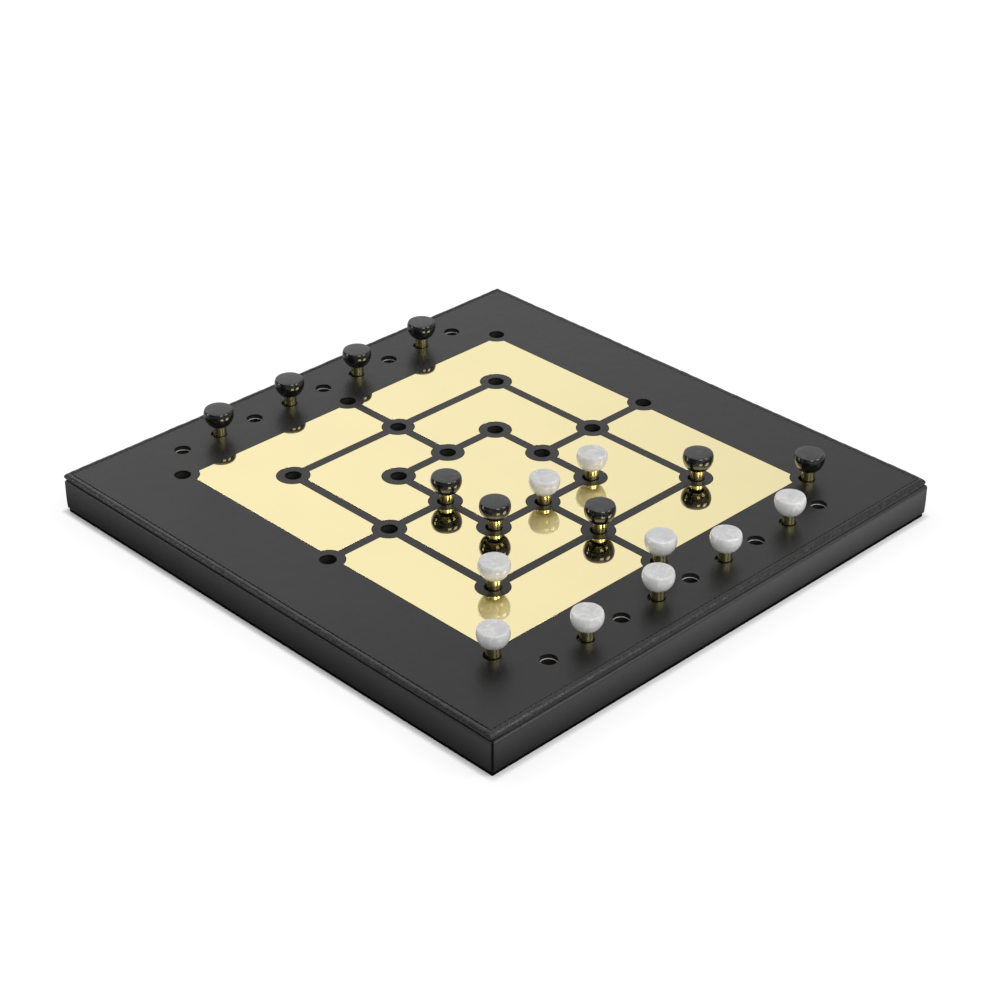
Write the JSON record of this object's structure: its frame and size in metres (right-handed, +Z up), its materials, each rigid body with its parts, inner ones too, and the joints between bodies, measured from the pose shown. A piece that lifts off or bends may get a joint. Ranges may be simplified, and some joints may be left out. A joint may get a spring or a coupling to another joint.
{
  "type": "nine mens morris box",
  "caption": "Shallow leather-covered board game box: lift-off lid with an inlaid brass mill board, peg holes and turned stone-headed pegs.",
  "frame": {"origin": "centre of the box's underside, on the surface it stands on", "axes": "+Z up, white's storage row along -Y, black's storage row along +Y, +X to white's right"},
  "size_m": [0.4012, 0.4012, 0.0479],
  "materials": {
    "pad": "matt black felt",
    "tray_wood": "stained black, sealed",
    "suede": "napped",
    "side_leather": "fine grain, satin",
    "lid_wood": "stained black",
    "top_leather": "smooth, satin",
    "binding_leather": "smooth, satin",
    "plate_brass": "mirror polished",
    "stem_brass": "polished",
    "white_stone": "polished, soft grey veins",
    "black_stone": "polished, faint pale veins"
  },
  "bodies": {
    "tray": {"base_pad": "pad", "tray_floor": "tray_wood", "tray_lining": "suede", "tray_wall_front": "tray_wood", "tray_wall_right": "tray_wood", "tray_wall_back": "tray_wood", "tray_wall_left": "tray_wood", "side_leather_front": "side_leather", "side_leather_right": "side_leather", "side_leather_back": "side_leather", "side_leather_left": "side_leather"},
    "lid": {"lid_peg_block": "lid_wood", "lid_panel": "lid_wood", "lid_top_leather": "top_leather", "lid_edge_binding": "binding_leather", "plate_centre": "plate_brass", "plate_middle_front_left": "plate_brass", "plate_middle_front_right": "plate_brass", "plate_middle_back_right": "plate_brass", "plate_middle_back_left": "plate_brass", "plate_outer_front_left": "plate_brass", "plate_outer_front_right": "plate_brass", "plate_outer_back_right": "plate_brass", "plate_outer_back_left": "plate_brass"},
    "white_peg_1": {"white_head_1": "white_stone", "white_stem_1": "stem_brass"},
    "white_peg_2": {"white_head_2": "white_stone", "white_stem_2": "stem_brass"},
    "white_peg_3": {"white_head_3": "white_stone", "white_stem_3": "stem_brass"},
    "white_peg_4": {"white_head_4": "white_stone", "white_stem_4": "stem_brass"},
    "white_peg_5": {"white_head_5": "white_stone", "white_stem_5": "stem_brass"},
    "white_peg_6": {"white_head_6": "white_stone", "white_stem_6": "stem_brass"},
    "white_peg_7": {"white_head_7": "white_stone", "white_stem_7": "stem_brass"},
    "white_peg_8": {"white_head_8": "white_stone", "white_stem_8": "stem_brass"},
    "white_peg_9": {"white_head_9": "white_stone", "white_stem_9": "stem_brass"},
    "black_peg_1": {"black_head_1": "black_stone", "black_stem_1": "stem_brass"},
    "black_peg_2": {"black_head_2": "black_stone", "black_stem_2": "stem_brass"},
    "black_peg_3": {"black_head_3": "black_stone", "black_stem_3": "stem_brass"},
    "black_peg_4": {"black_head_4": "black_stone", "black_stem_4": "stem_brass"},
    "black_peg_5": {"black_head_5": "black_stone", "black_stem_5": "stem_brass"},
    "black_peg_6": {"black_head_6": "black_stone", "black_stem_6": "stem_brass"},
    "black_peg_7": {"black_head_7": "black_stone", "black_stem_7": "stem_brass"},
    "black_peg_8": {"black_head_8": "black_stone", "black_stem_8": "stem_brass"},
    "black_peg_9": {"black_head_9": "black_stone", "black_stem_9": "stem_brass"}
  },
  "joints": [
    {"name": "lid_lift", "type": "slide", "parent": "tray", "child": "lid", "axis": [0, 0, 1], "range_m": [0, 0.04]},
    {"name": "white_peg_1_pull", "type": "slide", "parent": "lid", "child": "white_peg_1", "axis": [0, 0, 1], "range_m": [0, 0.03]},
    {"name": "white_peg_2_pull", "type": "slide", "parent": "lid", "child": "white_peg_2", "axis": [0, 0, 1], "range_m": [0, 0.03]},
    {"name": "white_peg_3_pull", "type": "slide", "parent": "lid", "child": "white_peg_3", "axis": [0, 0, 1], "range_m": [0, 0.03]},
    {"name": "white_peg_4_pull", "type": "slide", "parent": "lid", "child": "white_peg_4", "axis": [0, 0, 1], "range_m": [0, 0.03]},
    {"name": "white_peg_5_pull", "type": "slide", "parent": "lid", "child": "white_peg_5", "axis": [0, 0, 1], "range_m": [0, 0.03]},
    {"name": "white_peg_6_pull", "type": "slide", "parent": "lid", "child": "white_peg_6", "axis": [0, 0, 1], "range_m": [0, 0.03]},
    {"name": "white_peg_7_pull", "type": "slide", "parent": "lid", "child": "white_peg_7", "axis": [0, 0, 1], "range_m": [0, 0.03]},
    {"name": "white_peg_8_pull", "type": "slide", "parent": "lid", "child": "white_peg_8", "axis": [0, 0, 1], "range_m": [0, 0.03]},
    {"name": "white_peg_9_pull", "type": "slide", "parent": "lid", "child": "white_peg_9", "axis": [0, 0, 1], "range_m": [0, 0.03]},
    {"name": "black_peg_1_pull", "type": "slide", "parent": "lid", "child": "black_peg_1", "axis": [0, 0, 1], "range_m": [0, 0.03]},
    {"name": "black_peg_2_pull", "type": "slide", "parent": "lid", "child": "black_peg_2", "axis": [0, 0, 1], "range_m": [0, 0.03]},
    {"name": "black_peg_3_pull", "type": "slide", "parent": "lid", "child": "black_peg_3", "axis": [0, 0, 1], "range_m": [0, 0.03]},
    {"name": "black_peg_4_pull", "type": "slide", "parent": "lid", "child": "black_peg_4", "axis": [0, 0, 1], "range_m": [0, 0.03]},
    {"name": "black_peg_5_pull", "type": "slide", "parent": "lid", "child": "black_peg_5", "axis": [0, 0, 1], "range_m": [0, 0.03]},
    {"name": "black_peg_6_pull", "type": "slide", "parent": "lid", "child": "black_peg_6", "axis": [0, 0, 1], "range_m": [0, 0.03]},
    {"name": "black_peg_7_pull", "type": "slide", "parent": "lid", "child": "black_peg_7", "axis": [0, 0, 1], "range_m": [0, 0.03]},
    {"name": "black_peg_8_pull", "type": "slide", "parent": "lid", "child": "black_peg_8", "axis": [0, 0, 1], "range_m": [0, 0.03]},
    {"name": "black_peg_9_pull", "type": "slide", "parent": "lid", "child": "black_peg_9", "axis": [0, 0, 1], "range_m": [0, 0.03]}
  ]
}
